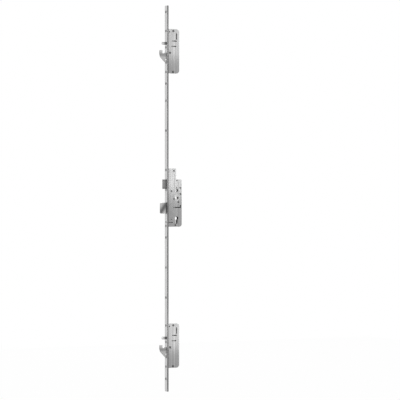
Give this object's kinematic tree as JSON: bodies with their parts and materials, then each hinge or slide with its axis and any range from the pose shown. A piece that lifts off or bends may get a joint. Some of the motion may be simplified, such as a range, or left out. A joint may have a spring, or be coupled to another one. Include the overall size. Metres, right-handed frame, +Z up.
{
  "type": "multipoint door lock",
  "caption": "Multipoint mortice door lock: long U-section faceplate with a main case for latch, deadbolt, follower and profile cylinder, and side boxes that throw hooks and round bolts.",
  "frame": {"origin": "on the faceplate's front face, midway across it, level with the follower's axis", "axes": "+X into the door, +Y across the faceplate away from the case's cover, +Z up along the faceplate"},
  "size_m": [0.1085, 0.024, 1.738],
  "materials": {
    "faceplate": "brushed zinc-plated steel",
    "case_plate": "zinc-plated sheet steel",
    "bolt_metal": "satin nickel-plated cast metal",
    "round_bolt": "polished steel",
    "screw": "zinc-plated steel",
    "pin": "turned steel",
    "spring": "spring steel",
    "inner_steel": "zinc-plated steel"
  },
  "bodies": {
    "case": {"case_screws": "screw", "cylinder_fixing_screw": "screw", "faceplate": "faceplate", "guide_rivets": "pin", "latch_spring": "spring", "latch_spring_stop": "inner_steel", "lower_box_blocks": "inner_steel", "lower_box_cover": "case_plate", "lower_box_posts": "pin", "lower_box_tray": "case_plate", "lower_hook_pivot": "pin", "main_case_blocks": "inner_steel", "main_case_cover": "case_plate", "main_case_posts": "pin", "main_case_tray": "case_plate", "rod_guides": "inner_steel", "upper_box_blocks": "inner_steel", "upper_box_cover": "case_plate", "upper_box_posts": "pin", "upper_box_tray": "case_plate", "upper_hook_pivot": "pin"},
    "deadbolt": {"deadbolt": "bolt_metal", "deadbolt_guide_pin": "pin", "deadbolt_hard_pins": "pin"},
    "drive": {"drive_rod": "inner_steel", "lower_box_slide": "inner_steel", "lower_box_slide_pins": "pin", "main_slide": "inner_steel", "main_slide_pin": "pin", "upper_box_slide": "inner_steel", "upper_box_slide_pins": "pin"},
    "follower": {"follower": "bolt_metal"},
    "latch": {"latch_bolt": "bolt_metal", "latch_tail": "inner_steel"},
    "lower_round_bolt": {"lower_bolt_carriage": "inner_steel", "lower_carriage_pins": "pin", "lower_round_bolt": "round_bolt"},
    "lower_hook": {"lower_hook": "bolt_metal"},
    "upper_round_bolt": {"upper_bolt_carriage": "inner_steel", "upper_carriage_pins": "pin", "upper_round_bolt": "round_bolt"},
    "upper_hook": {"upper_hook": "bolt_metal"}
  },
  "joints": [
    {"name": "drive_slide", "type": "slide", "parent": "case", "child": "drive", "axis": [0, 0, 1], "range_m": [0, 0.02513]},
    {"name": "deadbolt_slide", "type": "slide", "parent": "case", "child": "deadbolt", "axis": [1, 0, 0], "range_m": [0, 0.028]},
    {"name": "follower_turn", "type": "hinge", "parent": "case", "child": "follower", "pos_m": [0.05, 0, 0], "axis": [0, 1, 0], "range_deg": [0, 32], "stiffness_Nm_per_rad": 0.5, "springref_deg": -20.05},
    {"name": "latch_slide", "type": "slide", "parent": "case", "child": "latch", "axis": [1, 0, 0], "range_m": [0, 0.02], "deforming": ["latch_spring"]},
    {"name": "upper_hook_turn", "type": "hinge", "parent": "case", "child": "upper_hook", "pos_m": [0.017, 0, 0.654], "axis": [0, -1, 0], "range_deg": [0, 90]},
    {"name": "upper_round_bolt_slide", "type": "slide", "parent": "case", "child": "upper_round_bolt", "axis": [1, 0, 0], "range_m": [0, 0.02]},
    {"name": "lower_hook_turn", "type": "hinge", "parent": "case", "child": "lower_hook", "pos_m": [0.017, 0, -0.673], "axis": [0, -1, 0], "range_deg": [0, 90]},
    {"name": "lower_round_bolt_slide", "type": "slide", "parent": "case", "child": "lower_round_bolt", "axis": [1, 0, 0], "range_m": [0, 0.02]}
  ],
  "couplings": [
    {"joint": "deadbolt_slide", "follows": "drive_slide", "ratio": 1.1142},
    {"joint": "latch_slide", "follows": "follower_turn", "m_per_rad": 0.03554},
    {"joint": "upper_hook_turn", "follows": "drive_slide", "rad_per_m": 62.5},
    {"joint": "upper_round_bolt_slide", "follows": "drive_slide", "ratio": 0.7958},
    {"joint": "lower_hook_turn", "follows": "drive_slide", "rad_per_m": 62.5},
    {"joint": "lower_round_bolt_slide", "follows": "drive_slide", "ratio": 0.7958}
  ]
}
